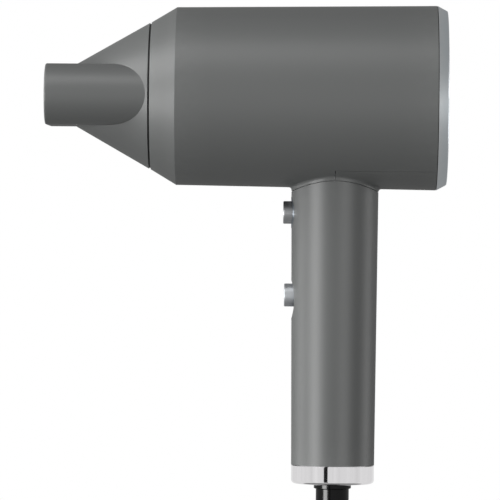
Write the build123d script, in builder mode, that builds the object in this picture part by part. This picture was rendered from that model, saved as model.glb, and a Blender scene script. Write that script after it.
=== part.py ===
from build123d import *
import math
import os

os.makedirs("parts", exist_ok=True)

# Driving dimensions, in millimetres. The origin is in the middle of the grip, +Z is up, and the air leaves
# towards -X. The barrel lies along X at the height axis_z, and the handle stands along Z at X = 0.
axis_z = 100.0

# Barrel: front cone ring, slightly tapered barrel and bevelled rear ring, as (place along X, radius).
cone_front_x, cone_front_r = -79.2, 31.66
barrel_front_x, barrel_front_r = -68.3, 38.2
barrel_rear_x, barrel_rear_r = 43.1, 39.6
ring_rear_x, ring_rear_r = 47.7, 37.3
barrel_inner_r = 36.2
cover_socket_r, cover_socket_depth = 37.6, 7.0
shell_wall = 2.0
seam_gap = 0.25
closed_seam = 0.06

# Nozzle: a cone that a flat duct with round ends runs through.
nozzle_base_x, nozzle_base_r = -79.9, 31.4
nozzle_tip_x, nozzle_tip_r = -112.1, 13.05
outlet_x = -123.9
duct_width, duct_height = 61.6, 26.1
nozzle_wall = 1.7
edge_round = 0.7

# Black ring that the nozzle turns on, pushed into the front of the barrel.
collar_r, collar_bore_r = 26.95, 25.2
collar_clearance = 0.05
collar_front_x, collar_rear_x = -84.5, -72.0
collar_bead_x, collar_bead_r = -82.4, 27.3

# Air path inside the barrel.
grille_front_x, grille_depth, grille_r = -70.4, 2.0, 28.8
duct_wall = 1.0
duct_end_x = -16.0
housing_rear_x = 34.0
mica_thickness, mica_length = 0.5, 50.0
mica_plate = 1.0
windings, winding_pitch, winding_coil_r = 8, 5.2, 1.3
winding_radii = (12.0, 21.0)
heater_front_x = -67.0

# Motor and fan.
motor_r, motor_wall, motor_front_x, motor_rear_x = 13.0, 1.0, -13.0, 17.0
damper_wall = 1.2
hub_wall = 1.4
vanes, vane_thickness = 7, 1.2
shaft_r, shaft_clearance = 1.15, 0.03
bearing_r, bearing_length = 4.0, 3.5
fan_front_x, fan_length, fan_hub_r, fan_tip_r, fan_blades = 20.0, 11.0, 12.0, 29.3, 9
blade_thickness, blade_angle = 1.1, 38.0

# Handle: a straight tube, a little thinner at the foot. Its top is cut to a saddle that follows the barrel.
handle_top_r, handle_foot_r = 18.7, 17.85
handle_foot_z = -57.9
saddle_r = 40.45
neck_fillet = 1.2
handle_wall = 2.0
neck_tube_r, neck_tube_wall, neck_tube_foot_z = 16.5, 1.6, 57.6

# Underside panel of the barrel, from the handle's middle to the rear.
panel_top_drop = 32.0

# Push button, high on the front of the handle.
button_z, button_r, button_front_x = 50.4, 4.88, -22.15
button_travel = 1.2
bezel_r, bezel_clearance = 6.7, 0.12

# Slide knob, in the finger scoop below.
knob_z, knob_r, knob_front_x = 14.9, 4.95, -21.5
knob_travel = 4.0
scoop_z, scoop_depth, scoop_half_height = 12.9, 1.2, 8.2

# Electronics in the handle.
board_x, board_thickness, board_width = -8.6, 1.6, 21.0
board_foot_z, board_top_z = -26.0, 57.0

# Chrome collar at the foot of the handle, with the strain relief through it.
foot_r, foot_height, foot_round = 17.8, 8.0, 1.6
foot_floor = 2.0
relief_root_r, relief_tip_r, relief_length = 7.1, 4.4, 40.0
relief_flange_r, relief_flange, relief_straight = 8.0, 2.0, 8.0
cord_r = 3.5

# Put-away cord: a hank hanging in line with the handle, its turns one pitch apart along Y.
hank_turns, hank_pitch, hank_run, hank_loop_r = 5, 7.2, 95.0, 22.0
hank_start_y, hank_top_z = -20.0, -190.0
plug_x, plug_y, plug_top_z = -22.0, 33.5, -256.0
pin_r, pin_root_r, pin_length, pin_spacing = 2.4, 1.9, 19.0, 19.0
plug_width, plug_depth, plug_height, boot_height = 36.0, 26.0, 36.0, 25.0
tie_height, tie_wall = 12.0, 1.5

barrel_side = Plane(origin=(0, 0, axis_z), x_dir=(1, 0, 0), z_dir=(0, -1, 0))
barrel_axis = Axis((0, 0, axis_z), (1, 0, 0))


def barrel_plane(x):
    """A plane square to the barrel at x, its own x along +Y and its own y along +Z."""
    return Plane(origin=(x, 0, axis_z), x_dir=(0, 1, 0), z_dir=(1, 0, 0))


def front_plane(x, z):
    """A plane square to X on the front of the handle, facing forwards, its own y along +Z."""
    return Plane(origin=(x, 0, z), x_dir=(0, -1, 0), z_dir=(-1, 0, 0))


def outline(plane, points):
    """A closed outline of straight lines on a plane."""
    with BuildSketch(plane) as sketch:
        with BuildLine():
            Polyline(*points, close=True)
        make_face()
    return sketch.sketch


def turned(points):
    """A solid of revolution about the barrel's axis, from (place along X, radius) points."""
    return revolve(outline(barrel_side, points), axis=barrel_axis, mode=Mode.PRIVATE)


def upright(points, x=0.0, y=0.0):
    """A solid of revolution about an upright axis, from (radius, height) points."""
    plane = Plane(origin=(x, y, 0), x_dir=(1, 0, 0), z_dir=(0, -1, 0))
    return revolve(outline(plane, points), axis=Axis((x, y, 0), (0, 0, 1)), mode=Mode.PRIVATE)


def tube(front_x, rear_x, outer_r, inner_r):
    """A plain tube along the barrel."""
    return turned([(front_x, inner_r), (front_x, outer_r), (rear_x, outer_r), (rear_x, inner_r)])


def write(node, name):
    """Label a finished piece and write it."""
    node.part.label = name
    export_step(node.part, f"parts/{name}.step")


def cone_r(x):
    """Radius of the front cone ring at x."""
    slope = (barrel_front_r - cone_front_r) / (barrel_front_x - cone_front_x)
    return cone_front_r + slope * (x - cone_front_x)


def handle_r(z):
    """Outside radius of the handle at height z."""
    return handle_foot_r + (handle_top_r - handle_foot_r) * (z - handle_foot_z) / (60.0 - handle_foot_z)


# ---------------------------------------------------------------- nozzle and its ring

nozzle_slope = (nozzle_base_r - nozzle_tip_r) / (nozzle_base_x - nozzle_tip_x)
nozzle_wall_x = nozzle_wall / math.sin(math.atan(nozzle_slope))
nozzle_seat_x = collar_front_x - 0.5
seat_r = collar_r + collar_clearance


def duct_outline(inset):
    """The flat duct's outline at the outlet, a stadium with its long side along Y."""
    with BuildSketch(barrel_plane(outlet_x)) as sketch:
        SlotOverall(duct_width - 2 * inset, duct_height - 2 * inset)
    return sketch.sketch


with BuildPart() as nozzle_shell:
    extrude(duct_outline(0), amount=nozzle_base_x - outlet_x)
    fillet(edges().group_by(Axis.X)[0], edge_round)
    add(turned([
        (nozzle_tip_x, 0), (nozzle_tip_x, nozzle_tip_r),
        (nozzle_base_x, nozzle_base_r), (nozzle_base_x, 0),
    ]))
    # The inside is the same duct and cone, one wall smaller.
    inner_tip_x = nozzle_tip_x + nozzle_wall_x
    add(turned([
        (inner_tip_x, 0), (inner_tip_x, nozzle_tip_r),
        (nozzle_seat_x, nozzle_tip_r + nozzle_slope * (nozzle_seat_x - inner_tip_x)), (nozzle_seat_x, 0),
    ]), mode=Mode.SUBTRACT)
    extrude(duct_outline(nozzle_wall), amount=nozzle_seat_x - outlet_x, mode=Mode.SUBTRACT)
    # The seat takes the ring, with room for the bead that snaps in.
    add(tube(nozzle_seat_x - 0.1, nozzle_base_x, seat_r, 0), mode=Mode.SUBTRACT)
    add(tube(collar_bead_x - 0.7, collar_bead_x + 0.7, collar_bead_r + 0.1, 0), mode=Mode.SUBTRACT)
write(nozzle_shell, "nozzle_shell")

with BuildPart() as nozzle_ring:
    flange_front, flange_rear = nozzle_base_x + 0.05, cone_front_x - 0.05
    flange_r = nozzle_base_r - 0.5
    add(turned([
        (collar_front_x, collar_bore_r), (collar_front_x, collar_r),
        (collar_bead_x - 0.5, collar_r), (collar_bead_x, collar_bead_r), (collar_bead_x + 0.5, collar_r),
        (flange_front, collar_r), (flange_front, flange_r), (flange_rear, flange_r), (flange_rear, collar_r),
        (collar_rear_x, collar_r), (collar_rear_x, collar_bore_r),
    ]))
write(nozzle_ring, "nozzle_ring")

# ---------------------------------------------------------------- barrel shells

spigot_end_x, spigot_r = barrel_front_x + 6.0, 34.4
core_front_x = -75.4
with BuildPart() as front_ring:
    add(turned([
        (cone_front_x, seat_r), (cone_front_x, cone_front_r),
        (barrel_front_x, barrel_front_r), (barrel_front_x, barrel_inner_r),
        (spigot_end_x, barrel_inner_r), (spigot_end_x, spigot_r), (barrel_front_x, spigot_r),
        (core_front_x, cone_r(core_front_x) - shell_wall - 0.3), (core_front_x, grille_r),
        (grille_front_x, grille_r), (grille_front_x, seat_r),
    ]))
write(front_ring, "front_ring")

grille_rings, grille_bar, grille_spokes = (4.0, 12.0, 20.0), 1.4, 8
with BuildPart() as outlet_grille:
    add(tube(grille_front_x, grille_front_x + grille_depth, grille_r, grille_r - grille_bar))
    for ring_r in grille_rings:
        half = grille_bar / 2
        add(tube(grille_front_x, grille_front_x + grille_depth, ring_r + half, ring_r - half))
    with BuildSketch(barrel_plane(grille_front_x)):
        with PolarLocations((grille_rings[0] + grille_r - grille_bar / 2) / 2, grille_spokes):
            Rectangle(grille_r - grille_bar / 2 - grille_rings[0], 1.2)
    extrude(amount=grille_depth)
write(outlet_grille, "outlet_grille")

# The barrel with its neck, before the underside panel is parted from it.
with BuildPart() as barrel_blank:
    add(turned([
        (barrel_front_x, 0), (barrel_front_x, barrel_front_r), (barrel_rear_x, barrel_rear_r), (barrel_rear_x, 0),
    ]))
    with BuildSketch(Plane.XY.offset(neck_tube_foot_z)):
        Circle(handle_top_r)
    extrude(amount=axis_z - neck_tube_foot_z)
    neck_low, neck_high = neck_tube_foot_z + 1, axis_z - 30
    neck_edges = edges().filter_by(
        lambda edge: edge.bounding_box().min.Z > neck_low and edge.bounding_box().max.Z < neck_high
    )
    fillet(neck_edges, neck_fillet)

# Below the saddle only a thinner tube goes on, down inside the handle.
with BuildPart() as saddle_waste:
    with BuildSketch(Plane.XY.offset(neck_tube_foot_z - 1)):
        Circle(handle_top_r + 6)
        Circle(neck_tube_r, mode=Mode.SUBTRACT)
    extrude(amount=axis_z - neck_tube_foot_z)
    add(tube(-30, 30, saddle_r, 0), mode=Mode.SUBTRACT)

with BuildPart() as barrel_hollow:
    add(barrel_blank.part)
    add(saddle_waste.part, mode=Mode.SUBTRACT)
    add(tube(barrel_front_x, barrel_rear_x, barrel_inner_r, 0), mode=Mode.SUBTRACT)
    add(tube(barrel_rear_x - cover_socket_depth, barrel_rear_x, cover_socket_r, 0), mode=Mode.SUBTRACT)
    with BuildSketch(Plane.XY.offset(neck_tube_foot_z)):
        Circle(neck_tube_r - neck_tube_wall)
    extrude(amount=axis_z - neck_tube_foot_z, mode=Mode.SUBTRACT)


def panel_region(gap, top_gap):
    """The block under the barrel, behind the handle's middle, that the panel is cut from."""
    foot = neck_tube_foot_z - 1
    with BuildPart() as region:
        with BuildSketch(Plane.XY.offset(foot)):
            Rectangle(barrel_rear_x - seam_gap / 2 + gap, 60, align=(Align.MIN, Align.CENTER))
        extrude(amount=axis_z - panel_top_drop + top_gap - foot)
    return region.part.translate((seam_gap / 2 - gap, 0, 0))


with BuildPart() as barrel_shell:
    add(barrel_hollow.part)
    add(panel_region(seam_gap, closed_seam), mode=Mode.SUBTRACT)
write(barrel_shell, "barrel_shell")

with BuildPart() as underside_panel:
    add(barrel_hollow.part)
    add(panel_region(0, 0), mode=Mode.INTERSECT)
write(underside_panel, "underside_panel")

# ---------------------------------------------------------------- rear cover

cover_front_x = barrel_rear_x - cover_socket_depth + 0.3
cover_seam_x = barrel_rear_x + 0.3
skirt_r, skirt_inner_r = cover_socket_r - 0.06, 35.0
plate_front_x, plate_rear_x, plate_r = 43.6, 45.4, 35.6
with BuildPart() as rear_ring:
    add(turned([
        (cover_seam_x, plate_r), (cover_seam_x, barrel_rear_r), (ring_rear_x, ring_rear_r),
        (ring_rear_x, plate_r - 1), (plate_rear_x, plate_r - 1), (plate_rear_x, plate_r),
    ]))
    fillet(edges().group_by(Axis.X)[-1].sort_by(SortBy.RADIUS)[-1], edge_round)
write(rear_ring, "rear_ring")

# Round holes in rings, six more in each ring than in the one inside it.
hole_r, hole_step, hole_rings = 1.0, 3.1, 10
with BuildPart() as rear_grille:
    add(turned([
        (plate_front_x, 0), (plate_rear_x, 0), (plate_rear_x, plate_r), (cover_seam_x, plate_r),
        (cover_seam_x, skirt_r), (cover_front_x, skirt_r), (cover_front_x, skirt_inner_r),
        (plate_front_x, skirt_inner_r),
    ]))
    with BuildSketch(barrel_plane(plate_front_x)):
        Circle(hole_r)
        for ring in range(1, hole_rings + 1):
            with PolarLocations(ring * hole_step, 6 * ring):
                Circle(hole_r)
    extrude(amount=plate_rear_x - plate_front_x, mode=Mode.SUBTRACT)
write(rear_grille, "rear_grille")

# The filter is a thin disc with square holes on a grid, kept inside its plain rim.
filter_thickness, filter_step, filter_hole, filter_rim_r = 0.4, 3.6, 2.8, 31.5
mesh_spots = [
    spot for spot in GridLocations(filter_step, filter_step, 19, 19).local_locations
    if math.hypot(spot.position.X, spot.position.Y) < filter_rim_r
]
with BuildPart() as filter_mesh:
    add(tube(plate_front_x - filter_thickness, plate_front_x, skirt_inner_r, 0))
    with BuildSketch(barrel_plane(plate_front_x - filter_thickness)):
        with Locations(*mesh_spots):
            Rectangle(filter_hole, filter_hole)
    extrude(amount=filter_thickness, mode=Mode.SUBTRACT)
write(filter_mesh, "filter_mesh")

# ---------------------------------------------------------------- air duct and heater

duct_front_x = -73.0
with BuildPart() as air_duct:
    add(tube(duct_front_x, duct_end_x, grille_r + duct_wall, grille_r))
write(air_duct, "air_duct")

heater_rear_x = heater_front_x + mica_length
mica_inner_r = grille_r - mica_thickness
with BuildPart() as mica_sleeve:
    add(tube(heater_front_x, heater_rear_x, grille_r, mica_inner_r))
write(mica_sleeve, "mica_sleeve")


def winding_rings(coil_r):
    """The heater's turns, each as the round outer shape of its wire coil."""
    first_x = heater_front_x + 4.0
    rings = []
    for turn in range(windings):
        for ring_r in winding_radii:
            torus = Torus(ring_r, coil_r, mode=Mode.PRIVATE)
            rings.append(barrel_plane(first_x + turn * winding_pitch) * torus)
    return rings


with BuildPart() as mica_frame:
    with BuildSketch(barrel_plane(heater_front_x)):
        Rectangle(2 * mica_inner_r, mica_plate)
        Rectangle(mica_plate, 2 * mica_inner_r)
        Circle(mica_inner_r, mode=Mode.INTERSECT)
    extrude(amount=mica_length)
    add(winding_rings(winding_coil_r + 0.2), mode=Mode.SUBTRACT)
write(mica_frame, "mica_frame")

with BuildPart() as heater_windings:
    add(winding_rings(winding_coil_r))
write(heater_windings, "heater_windings")

guard_x, guard_length = -24.6, 7.0
with BuildPart() as thermostat:
    with BuildSketch(barrel_plane(guard_x)):
        with Locations((mica_plate / 2, 6.5)):
            Rectangle(4.2, 8.0, align=(Align.MIN, Align.CENTER))
    extrude(amount=guard_length)
    chamfer(edges().filter_by(Axis.X), 0.5)
write(thermostat, "thermostat")

fuse_r = 1.7
with BuildPart() as thermal_fuse:
    with BuildSketch(barrel_plane(guard_x)):
        with Locations((-mica_plate / 2 - fuse_r, -6.0)):
            Circle(fuse_r)
    extrude(amount=guard_length)
    chamfer(edges().filter_by(GeomType.CIRCLE), 0.5)
write(thermal_fuse, "thermal_fuse")

module_x, module_length, module_width, module_height = -50.0, 24.0, 12.0, 4.8
with BuildPart() as ion_module:
    with BuildSketch(Plane.XY.offset(axis_z + grille_r + duct_wall)):
        with Locations((module_x, 0)):
            Rectangle(module_length, module_width, align=(Align.MIN, Align.CENTER))
    extrude(amount=module_height)
    fillet(edges().filter_by(Axis.Z), 1.0)
write(ion_module, "ion_module")

needle_r, holder_r = 0.4, grille_rings[0] - grille_bar / 2
with BuildPart() as ion_needle:
    add(turned([
        (-73.4, 0), (-72.4, needle_r), (-71.4, needle_r), (-71.2, 1.2), (grille_front_x, holder_r),
        (heater_front_x - 0.2, holder_r), (heater_front_x - 0.2, 0),
    ]))
write(ion_needle, "ion_needle")

# ---------------------------------------------------------------- fan housing and motor

housing_r, housing_inner_r = 31.2, 29.9
flange_length = 2.0
hub_inner_r = motor_r + damper_wall
hub_r = hub_inner_r + hub_wall
hub_front_x, hub_rear_x = -10.0, 16.0
vane_front_x, vane_length, vane_angle = 2.0, 12.0, 18.0


def blade(middle_x, length, thickness, angle, reach):
    """One flat blade standing up from the barrel's axis, turned by angle out of the flow."""
    plane = Plane(
        origin=(middle_x, 0, axis_z),
        x_dir=(math.cos(math.radians(angle)), math.sin(math.radians(angle)), 0), z_dir=(0, 0, 1),
    )
    with BuildSketch(plane) as section:
        Rectangle(length, thickness)
    return extrude(section.sketch, amount=reach, mode=Mode.PRIVATE)


with BuildPart() as fan_housing:
    vane = blade(vane_front_x + vane_length / 2, vane_length, vane_thickness, vane_angle, housing_inner_r + 0.5)
    for count in range(vanes):
        add(vane.rotate(barrel_axis, 360 / vanes * count))
    add(tube(hub_front_x, hub_rear_x, hub_r, 0))
    add(tube(hub_front_x, hub_rear_x, hub_inner_r, 0), mode=Mode.SUBTRACT)
    add(tube(duct_end_x, housing_rear_x, housing_r, housing_inner_r))
    add(tube(duct_end_x, duct_end_x + flange_length, barrel_inner_r, grille_r))
    add(tube(housing_rear_x - flange_length, housing_rear_x, barrel_inner_r, housing_inner_r))
    # A way for the wires under the housing, through both flanges.
    with BuildSketch(Plane.XY.offset(axis_z - barrel_inner_r - 1)):
        with Locations((duct_end_x, 0), (housing_rear_x - flange_length, 0)):
            Rectangle(flange_length, 12.0, align=(Align.MIN, Align.CENTER))
    extrude(amount=barrel_inner_r - housing_r + 1, mode=Mode.SUBTRACT)
write(fan_housing, "fan_housing")

with BuildPart() as damper_rings:
    for damper_x in (-8.0, 10.0):
        add(tube(damper_x, damper_x + 4, hub_inner_r, motor_r))
write(damper_rings, "damper_rings")

boss_r = bearing_r + 1.2
boss_reach = 3.5
cap_front_x = motor_rear_x - 2.0
with BuildPart() as motor_can:
    add(turned([
        (motor_front_x, bearing_r), (motor_front_x, motor_r), (motor_rear_x, motor_r),
        (motor_rear_x, motor_r - motor_wall), (motor_front_x + motor_wall, motor_r - motor_wall),
        (motor_front_x + motor_wall, boss_r), (motor_front_x + boss_reach, boss_r),
        (motor_front_x + boss_reach, bearing_r),
    ]))
write(motor_can, "motor_can")

with BuildPart() as motor_end_cap:
    add(turned([
        (motor_rear_x, bearing_r), (motor_rear_x, motor_r - motor_wall), (cap_front_x, motor_r - motor_wall),
        (cap_front_x, boss_r), (motor_rear_x - boss_reach, boss_r), (motor_rear_x - boss_reach, bearing_r),
    ]))
write(motor_end_cap, "motor_end_cap")

with BuildPart() as motor_bearings:
    for bearing_x in (motor_front_x, motor_rear_x - bearing_length):
        add(tube(bearing_x, bearing_x + bearing_length, bearing_r, shaft_r + shaft_clearance))
write(motor_bearings, "motor_bearings")

armature_r, magnet_inner_r = 9.8, 10.4
with BuildPart() as motor_magnets:
    add(tube(-7.5, 8.5, motor_r - motor_wall, magnet_inner_r))
    with BuildSketch(barrel_plane(-7.5)):
        Rectangle(8.0, 2 * motor_r)
    extrude(amount=16.0, mode=Mode.SUBTRACT)
write(motor_magnets, "motor_magnets")

fan_rear_x = fan_front_x + fan_length
with BuildPart() as motor_shaft:
    add(tube(motor_front_x - 1.0, fan_rear_x + 1.0, shaft_r, 0))
    chamfer(edges().filter_by(GeomType.CIRCLE), 0.2)
write(motor_shaft, "motor_shaft")

slots, slot_r, slot_centre_r, coil_bundle_r = 5, 2.5, 7.0, 2.3
with BuildPart() as armature:
    add(tube(-6.0, 7.0, armature_r, shaft_r))
    with BuildSketch(barrel_plane(-6.0)):
        with PolarLocations(slot_centre_r, slots):
            Circle(slot_r)
        with PolarLocations(armature_r, slots):
            Rectangle(2.0, 1.6)
    extrude(amount=13.0, mode=Mode.SUBTRACT)
write(armature, "armature")

with BuildPart() as armature_windings:
    with BuildSketch(barrel_plane(-7.5)):
        with PolarLocations(slot_centre_r, slots):
            Circle(coil_bundle_r)
    extrude(amount=16.0)
    fillet(edges().filter_by(GeomType.CIRCLE), 0.8)
write(armature_windings, "armature_windings")

commutator_r = 3.2
with BuildPart() as commutator:
    add(tube(9.0, 12.5, commutator_r, shaft_r))
    with BuildSketch(barrel_plane(9.0)):
        with PolarLocations(commutator_r, slots):
            Rectangle(1.0, 0.4)
    extrude(amount=3.5, mode=Mode.SUBTRACT)
write(commutator, "commutator")

with BuildPart() as motor_brushes:
    for side in (1, -1):
        with BuildSketch(barrel_plane(9.6)):
            with Locations((side * (commutator_r + 0.05 + 3.4), 0)):
                Rectangle(6.8, 1.8)
        extrude(amount=1.8)
        with BuildSketch(barrel_plane(9.6)):
            with Locations((side * 9.2, 0)):
                Rectangle(1.6, 1.8)
        extrude(amount=cap_front_x - 9.6)
write(motor_brushes, "motor_brushes")

fan_nose = 2.5
blade_rear_x = fan_rear_x - fan_nose
with BuildPart() as fan:
    blade_length = (blade_rear_x - fan_front_x) / math.cos(math.radians(blade_angle))
    one_blade = blade((fan_front_x + blade_rear_x) / 2, blade_length, blade_thickness, blade_angle, fan_tip_r + 2)
    for count in range(fan_blades):
        add(one_blade.rotate(barrel_axis, 360 / fan_blades * count))
    add(tube(fan_front_x, blade_rear_x, fan_tip_r, 0), mode=Mode.INTERSECT)
    add(turned([
        (fan_front_x, 0), (fan_front_x, fan_hub_r), (blade_rear_x, fan_hub_r),
        (fan_rear_x, fan_hub_r - fan_nose), (fan_rear_x, 0),
    ]))
    add(tube(fan_front_x, fan_rear_x, shaft_r, 0), mode=Mode.SUBTRACT)
write(fan, "fan")

# ---------------------------------------------------------------- handle shell and the controls' openings

scoop_r = (scoop_half_height ** 2 + scoop_depth ** 2) / (2 * scoop_depth)
scoop_floor_x = -handle_r(scoop_z) + scoop_depth
plate_half, plate_slot_half = 5.95, knob_r + 0.12


def handle_solid(grow, top_z=80.0):
    """The handle's tapered outside, filled and grown by grow, up to top_z."""
    return upright([
        (0, handle_foot_z), (handle_foot_r + grow, handle_foot_z), (handle_r(top_z) + grow, top_z), (0, top_z),
    ])


def scoop_roll(radius):
    """The round cross-piece, lying along Y, that the finger scoop is hollowed with."""
    plane = Plane(origin=(scoop_floor_x - scoop_r, -20, scoop_z), x_dir=(1, 0, 0), z_dir=(0, 1, 0))
    with BuildSketch(plane) as section:
        Circle(radius)
    return extrude(section.sketch, amount=40, mode=Mode.PRIVATE)


def upright_slot(x, z, half_width, amount, spread=knob_travel):
    """A block along X, from x backwards, with the outline of an upright slot."""
    with BuildSketch(front_plane(x, z)) as section:
        SlotCenterToCenter(spread, 2 * half_width, rotation=90)
    return extrude(section.sketch, amount=-amount, mode=Mode.PRIVATE)


def button_disc(front_x, rear_x, z, radius):
    """A round block along X at height z."""
    with BuildSketch(front_plane(front_x, z)) as section:
        Circle(radius)
    return extrude(section.sketch, amount=-(rear_x - front_x), mode=Mode.PRIVATE)


with BuildPart() as handle_shell:
    add(handle_solid(0.0))
    add(tube(-40, 40, saddle_r + seam_gap, 0), mode=Mode.SUBTRACT)
    add(handle_solid(-handle_wall), mode=Mode.SUBTRACT)
    add(scoop_roll(scoop_r), mode=Mode.SUBTRACT)
    add(button_disc(-25, -8, button_z, bezel_r), mode=Mode.SUBTRACT)
    add(upright_slot(-25, scoop_z, plate_half, 17), mode=Mode.SUBTRACT)
write(handle_shell, "handle_shell")

with BuildPart() as button_bezel:
    add(handle_solid(0.12))
    add(handle_solid(-handle_wall), mode=Mode.SUBTRACT)
    add(button_disc(-25, -8, button_z, bezel_r), mode=Mode.INTERSECT)
    add(button_disc(-25, -8, button_z, button_r + bezel_clearance), mode=Mode.SUBTRACT)
write(button_bezel, "button_bezel")

with BuildPart() as slide_plate:
    add(handle_solid(0.0))
    add(handle_solid(-handle_wall), mode=Mode.SUBTRACT)
    add(scoop_roll(scoop_r), mode=Mode.SUBTRACT)
    add(upright_slot(-25, scoop_z, plate_half, 17), mode=Mode.INTERSECT)
    add(upright_slot(-25, scoop_z, plate_slot_half, 17), mode=Mode.SUBTRACT)
write(slide_plate, "slide_plate")

# ---------------------------------------------------------------- control board, switches and the two controls

board_front_x = board_x
board_rear_x = board_x + board_thickness
screw_r, screw_head_r, screw_head = 1.0, 1.9, 1.2
screw_spots = [(side * 8.0, height) for side in (-1, 1) for height in (-22.0, 43.0)]


def screw_discs(front_x, rear_x, radius):
    """Round blocks along X at the board's four screws."""
    return [
        button_disc(front_x, rear_x, height, radius).translate((0, side, 0)) for side, height in screw_spots
    ]


with BuildPart() as control_board:
    with BuildSketch(front_plane(board_front_x, (board_foot_z + board_top_z) / 2)):
        RectangleRounded(board_width, board_top_z - board_foot_z, 1.5)
    extrude(amount=-board_thickness)
    add(screw_discs(board_front_x, board_rear_x, screw_r + 0.05), mode=Mode.SUBTRACT)
write(control_board, "control_board")

frame_rear_x, frame_top_z, frame_foot_z, frame_half = -5.4, 48.0, -56.0, 14.0
frame_waist_z, frame_waist_half = -46.0, 9.5
with BuildPart() as handle_frame:
    with BuildSketch(front_plane(board_rear_x, 0)):
        with Locations((0, frame_waist_z)):
            Rectangle(2 * frame_half, frame_top_z - frame_waist_z, align=(Align.CENTER, Align.MIN))
            Rectangle(2 * frame_waist_half, frame_waist_z - frame_foot_z, align=(Align.CENTER, Align.MAX))
    extrude(amount=-(frame_rear_x - board_rear_x))
    with BuildSketch(Plane.XY.offset(frame_waist_z)):
        with Locations((frame_rear_x, -frame_half + 0.8), (frame_rear_x, frame_half - 0.8)):
            Rectangle(2.6, 1.6, align=(Align.MIN, Align.CENTER))
    extrude(amount=frame_top_z - frame_waist_z)
    # Seat for the cord, at the foot, with the two clamp screws going into it.
    with BuildSketch(Plane.XY.offset(frame_foot_z)):
        with Locations((frame_rear_x, 0)):
            Rectangle(-frame_rear_x - 0.4, 2 * frame_waist_half, align=(Align.MIN, Align.CENTER))
        Circle(cord_r, mode=Mode.SUBTRACT)
    extrude(amount=6.0)
    add(screw_discs(board_rear_x, frame_rear_x, screw_r), mode=Mode.SUBTRACT)
    for side in (-1, 1):
        add(button_disc(-4.0, 0, frame_foot_z + 3, 1.25).translate((0, side * 6.5, 0)), mode=Mode.SUBTRACT)
write(handle_frame, "handle_frame")

with BuildPart() as board_screws:
    add(screw_discs(board_front_x, frame_rear_x, screw_r))
    add(screw_discs(board_front_x - screw_head, board_front_x, screw_head_r))
write(board_screws, "board_screws")

clamp_top_x = 4.8
with BuildPart() as cord_clamp:
    with BuildSketch(Plane.XY.offset(frame_foot_z)):
        with Locations((0.4, 0)):
            Rectangle(clamp_top_x - 0.4, 2 * frame_waist_half, align=(Align.MIN, Align.CENTER))
        Circle(cord_r, mode=Mode.SUBTRACT)
    extrude(amount=6.0)
    for side in (-1, 1):
        add(button_disc(0, clamp_top_x, frame_foot_z + 3, 1.35).translate((0, side * 6.5, 0)), mode=Mode.SUBTRACT)
write(cord_clamp, "cord_clamp")

with BuildPart() as clamp_screws:
    for side in (-1, 1):
        add(button_disc(-4.0, clamp_top_x, frame_foot_z + 3, 1.25).translate((0, side * 6.5, 0)))
        add(button_disc(clamp_top_x, clamp_top_x + 1.6, frame_foot_z + 3, 2.3).translate((0, side * 6.5, 0)))
write(clamp_screws, "clamp_screws")

switch_front_x, switch_back = board_front_x - 4.0, 1.4
plunger_r, plunger_front_x = 1.6, -14.6
plunger_rear_x = switch_front_x + button_travel
with BuildPart() as push_switch:
    with BuildSketch(front_plane(switch_front_x, button_z)):
        RectangleRounded(8.0, 7.0, 0.6)
    extrude(amount=-(board_front_x - switch_front_x))
    bore_end_x = board_front_x - switch_back
    add(button_disc(switch_front_x, bore_end_x, button_z, plunger_r + 0.05), mode=Mode.SUBTRACT)
write(push_switch, "push_switch")

with BuildPart() as push_plunger:
    add(button_disc(plunger_front_x, plunger_rear_x, button_z, plunger_r))
write(push_plunger, "push_plunger")

button_flange_x, button_flange_r, button_round = -15.4, 5.5, 0.45
with BuildPart() as push_button:
    add(button_disc(button_front_x, button_flange_x, button_z, button_r))
    fillet(edges().filter_by(GeomType.CIRCLE).group_by(Axis.X)[0], button_round)
    add(button_disc(button_flange_x, plunger_front_x, button_z, button_flange_r))
write(push_button, "push_button")

carrier_front_x, carrier_rear_x, carrier_half_width, carrier_half_height = -14.9, -13.9, 6.4, 9.5
with BuildPart() as slide_knob:
    add(button_disc(knob_front_x, carrier_front_x, knob_z, knob_r))
    fillet(edges().filter_by(GeomType.CIRCLE).group_by(Axis.X)[0], button_round)
write(slide_knob, "slide_knob")

lever_half, lever_rear_x = 1.5, -11.0
with BuildPart() as slide_carrier:
    with BuildSketch(front_plane(carrier_front_x, knob_z)):
        RectangleRounded(2 * carrier_half_width, 2 * carrier_half_height, 2.0)
    extrude(amount=-(carrier_rear_x - carrier_front_x))
    with BuildSketch(front_plane(carrier_rear_x, knob_z)):
        Rectangle(2 * lever_half, 2 * lever_half)
    extrude(amount=-(lever_rear_x - carrier_rear_x))
write(slide_carrier, "slide_carrier")

with BuildPart() as slide_switch:
    with BuildSketch(front_plane(switch_front_x, scoop_z)):
        Rectangle(8.0, 14.0)
    extrude(amount=-(board_front_x - switch_front_x))
    with BuildSketch(front_plane(switch_front_x, scoop_z)):
        Rectangle(2 * lever_half + 0.2, 2 * lever_half + knob_travel + 0.2)
    extrude(amount=-2.0, mode=Mode.SUBTRACT)
write(slide_switch, "slide_switch")

# ---------------------------------------------------------------- collar, strain relief and the wires inside

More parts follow.
